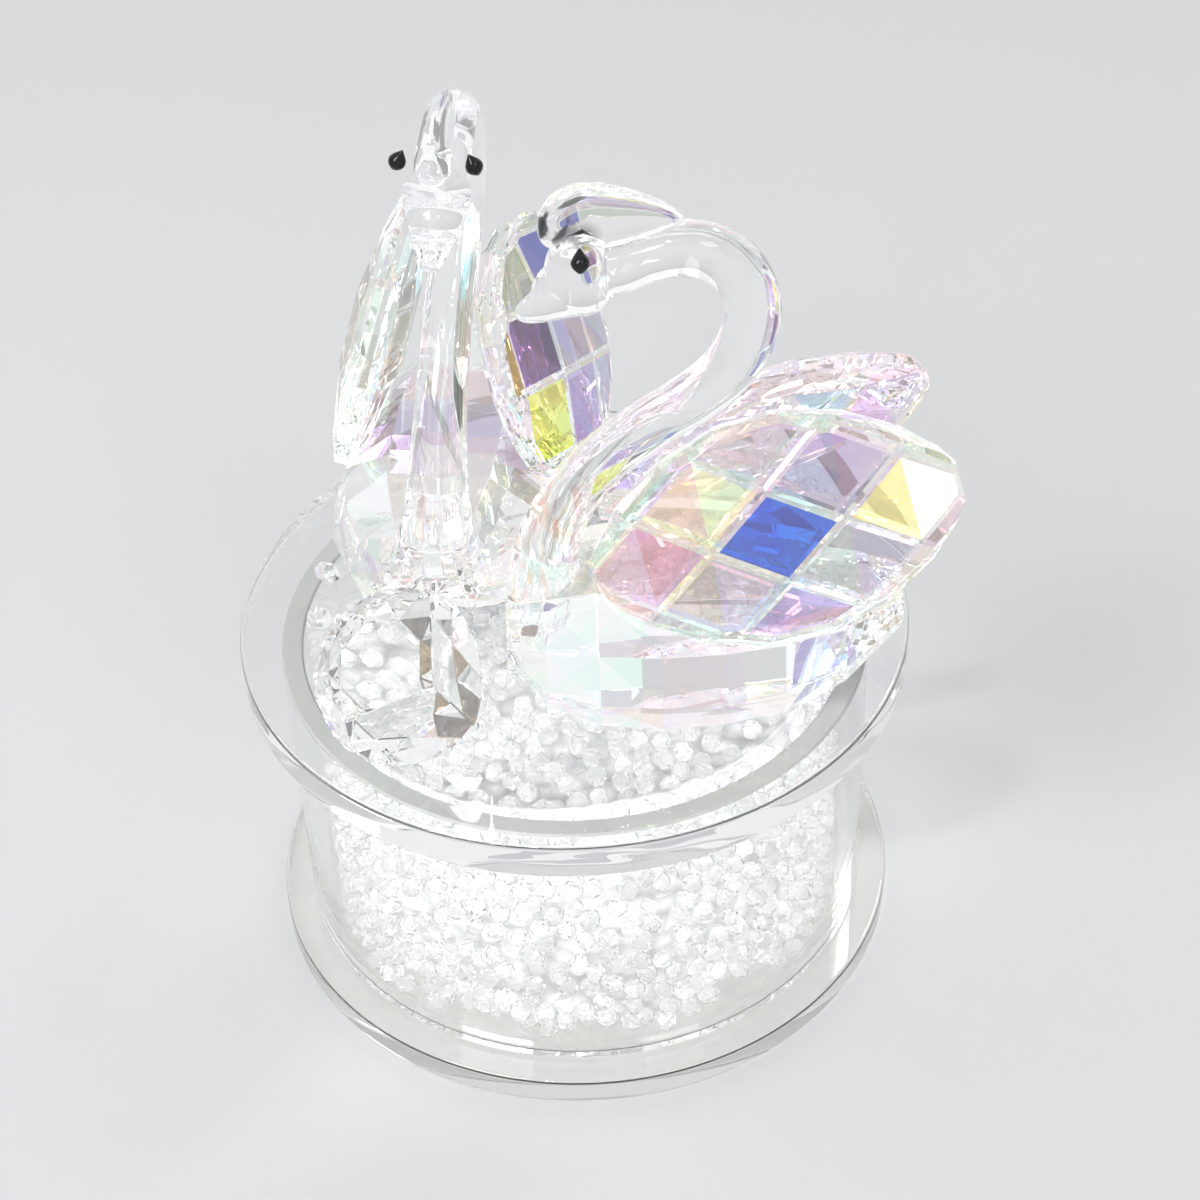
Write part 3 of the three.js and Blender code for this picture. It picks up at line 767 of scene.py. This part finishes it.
def makeBody(swan, share, seed, colourList, depth, glow):
    # pale facets, of which a share takes a colour of the list, deepened by the power depth; each facet also glows
    # faintly, a painted glint set by glow
    node = swan["name"] + "_body"
    obj = facetMesh(node, node + "_cut", brokenEdges["body"])
    mesh = obj.data
    mesh.materials.append(coatedCrystal)
    random = np.random.default_rng(seed)
    count = len(mesh.polygons)
    colours = pale[random.integers(0, len(pale), count)] ** 0.6
    strong = random.random(count) < share
    colours[strong] = colourList[random.integers(0, len(colourList), strong.sum())] ** depth
    setTint(mesh, colours, glow * (0.4 + random.random(count) ** 2))
    return finishPiece(obj, "coated_crystal", node)


for swan in swans:
    makeNeck(swan)
    for side, sign in (("left", 1), ("right", -1)):
        makeEye(swan, side, sign)
        makeWing(swan, side, sign)
makeBody(swans[0], 0.12, 3, flashColours, 1.3, 0.03)
makeBody(swans[1], 0.18, 8, bodyColours, 0.7, 0.02)
print("swans ready")

# the stone's far facets take painted reflections, tints of dark, brown, teal or clear; its three front faces stay
# nearly clear
stoneValues = {
    "seed": 4, "turn": 307, "tilt": 64,
    "far": np.array([
        [1.0, 1.0, 1.0], [0.95, 0.97, 1.0], [0.03, 0.03, 0.03], [1.0, 1.0, 1.0], [0.3, 0.2, 0.12],
        [0.9, 0.95, 0.92], [0.5, 0.8, 0.85], [0.55, 0.52, 0.4], [1.0, 1.0, 1.0], [0.12, 0.1, 0.09]]),
}
stone = facetMesh("cut_stone", "cut_stone_gem", brokenEdges["stone"])
stone.data.materials.append(stoneGlass)
stoneNormals = faceArrays(stone.data)[1]
tip = (turn("Z", stoneValues["turn"]) @ turn("Y", stoneValues["tilt"]))[:3, 2]
farSide = stoneNormals @ tip < -0.2
stoneRandom = np.random.default_rng(stoneValues["seed"])
stoneTints = np.ones((len(stoneNormals), 3)) * 0.98
stoneTints[farSide] = stoneValues["far"][stoneRandom.integers(0, len(stoneValues["far"]), farSide.sum())]
setTint(stone.data, stoneTints)
finishPiece(stone, "stone_crystal", "cut_stone")

dropValues = [
    {"name": "drop_back", "place": (-29.9, 8.3), "half": (1.9, 1.35, 1.3), "turn": 130},
    {"name": "drop_front", "place": (-30.5, -0.1), "half": (1.9, 1.5, 1.3), "turn": 110},
]
for drop in dropValues:
    # half ellipsoid with a flat foot: sine and cosine of the polar angle, times the half sizes
    polar = np.linspace(0.03, np.pi / 2, 14)
    rings = sweptRings(np.stack([np.sin(polar), np.cos(polar)], -1), 32)
    points, faces = closedRings(rings * np.array(drop["half"]))
    place = shift(*drop["place"], lidTop + glueGap) @ turn("Z", drop["turn"])
    blob = outwardFaces(makeObject(drop["name"] + "_glass", moved(points, place), faces, clearGlass))
    finishPiece(blob, "clear_glass", drop["name"])
print("stone and drops ready")


# stage, lights, camera

stageValues = {
    "floorColour": (0.52, 0.524, 0.53), "floorRoughness": 0.9, "floorHalf": 4000, "floorLevel": -0.2,
    "worldColour": (0.985, 0.99, 1.0, 1), "worldStrength": 0.93,
}
half, level = stageValues["floorHalf"], stageValues["floorLevel"]
floorCorners = [[-half, -half, level], [half, -half, level], [half, half, level], [-half, half, level]]
floorMaterial = plainFinish("floor", stageValues["floorColour"], stageValues["floorRoughness"])
makeObject("floor", floorCorners, [[0, 1, 2, 3]], floorMaterial, False)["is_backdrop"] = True

# grey cards in a ring, above the camera's view, give the glass darker edges to bend; millimetres, lower edge far
# out and upper edge nearer
cardColumns = ("name", "azimuth", "width", "grey", "low", "high", "far", "near")
cardRows = [
    ("dark_card", 270, 500, 0.45, 1000, 1250, 1000, 700),
    ("right_card", 5, 500, 0.26, 450, 950, 1000, 900),
    ("back_card", 95, 600, 0.65, 450, 950, 1000, 900),
    ("left_card", 185, 400, 0.24, 450, 800, 1000, 900),
    ("front_card", 235, 350, 0.3, 400, 850, 900, 850),
    ("front_right_card", 318, 300, 0.3, 400, 800, 900, 850),
]
for row in cardRows:
    card = dict(zip(cardColumns, row))
    half = card["width"] / 2
    corners = np.array([
        [card["far"], -half, card["low"]], [card["far"], half, card["low"]],
        [card["near"], half, card["high"]], [card["near"], -half, card["high"]]])
    cardMaterial = plainFinish(card["name"], (card["grey"], card["grey"], card["grey"] * 1.05), 1)
    place = turn("Z", card["azimuth"])
    makeObject(card["name"], moved(corners, place), [[0, 1, 2, 3]], cardMaterial, False)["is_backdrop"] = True

world = bpy.data.worlds.new("studio")
bpy.context.scene.world = world
world.use_nodes = True
world.node_tree.nodes["Background"].inputs["Color"].default_value = stageValues["worldColour"]
world.node_tree.nodes["Background"].inputs["Strength"].default_value = stageValues["worldStrength"]


def softbox(name, place, target, size, power):
    # a square lamp at place, facing target, in metres and watts
    light = bpy.data.lights.new(name, "AREA")
    light.shape = "RECTANGLE"
    light.size, light.size_y = size, size
    light.energy = power
    obj = bpy.data.objects.new(name, light)
    bpy.context.scene.collection.objects.link(obj)
    way = Matrix.Translation(place).to_translation() - Matrix.Translation(target).to_translation()
    obj.matrix_world = Matrix.Translation(place) @ way.to_track_quat("Z", "Y").to_matrix().to_4x4()
    return obj


softbox("key", (-0.36, -0.4, 0.62), (0, 0, 0.03), 0.3, 3.2)
softbox("fill", (0.6, -0.9, 1.3), (0, 0, 0.05), 0.5, 2.5)
softbox("spark", (-0.25, -0.55, 1.3), (0, 0, 0.05), 0.08, 3)
softbox("back", (0.75, 0.9, 1.2), (0, 0, 0.05), 0.25, 3)

# the camera fitted to the outlines of both discs in the photo: its right, up and back directions
right = (0.99884, -0.03814, -0.02929)
up = (0.04707, 0.65113, 0.7575)
back = (-0.00982, -0.75801, 0.65217)
camera = bpy.data.objects.new("camera", bpy.data.cameras.new("camera"))
bpy.context.scene.collection.objects.link(camera)
camera.matrix_world = Matrix((
    (right[0], up[0], back[0], 0.0),
    (right[1], up[1], back[1], -0.24505),
    (right[2], up[2], back[2], 0.25674),
    (0, 0, 0, 1)))
camera.data.sensor_width = 36
camera.data.lens = 81
camera.data.clip_start = 0.01
camera.data.clip_end = 20
bpy.context.scene.camera = camera

# facets pass light on many times, so the paths are long
scene = bpy.context.scene
scene.view_settings.view_transform = "Standard"
scene.view_settings.look = "None"
scene.cycles.max_bounces = 22
scene.cycles.transmission_bounces = 22
scene.cycles.glossy_bounces = 16
scene.cycles.diffuse_bounces = 3

# light reaches the beads through the clear pieces over them
seeThrough = (
    "lid_glass", "drum_glass", "foot_glass", "beads", "deep_beads",
    "cut_stone_gem", "side_swan_body_cut", "front_swan_body_cut")
for name in seeThrough:
    bpy.data.objects[name].visible_shadow = False

newLow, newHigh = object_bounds()
for name, low, high in (("cad", cadLow, cadHigh), ("scene", newLow, newHigh)):
    print(name, "size", [round(v / mm, 2) for v in (*low, *high)])
